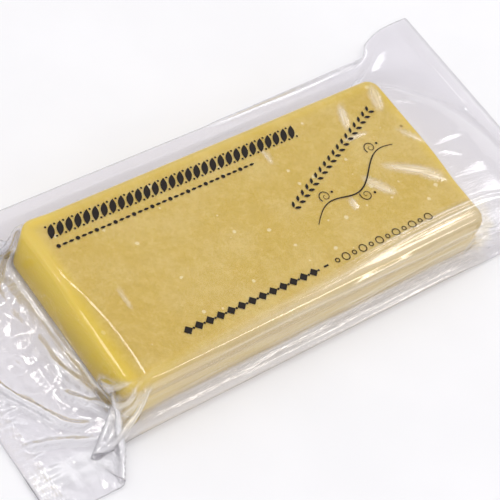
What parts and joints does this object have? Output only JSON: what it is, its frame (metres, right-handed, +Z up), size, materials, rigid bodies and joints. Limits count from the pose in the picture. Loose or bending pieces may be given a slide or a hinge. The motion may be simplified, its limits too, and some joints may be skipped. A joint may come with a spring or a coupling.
{
  "type": "nougat block",
  "caption": "Flat rectangular block of golden nougat, vacuum sealed in a clear film pouch with crumpled and pleated end flanges.",
  "frame": {"origin": "middle of the block's flat underside, on the surface that it rests on", "axes": "+X along the block's length to the longer end flange, +Y across to the back side with the wider side flange, +Z up through the printed face"},
  "size_m": [0.254, 0.1094, 0.021],
  "materials": {
    "sealed_pouch": "golden nougat seen through tight clear film",
    "nougat": "smooth fine-grained golden paste with pale crumbs",
    "clear_film": "clear glossy film, creased and pleated",
    "black_print": "black ink on the film"
  },
  "bodies": {
    "root": {"sealed_pouch": "sealed_pouch"}
  },
  "joints": []
}
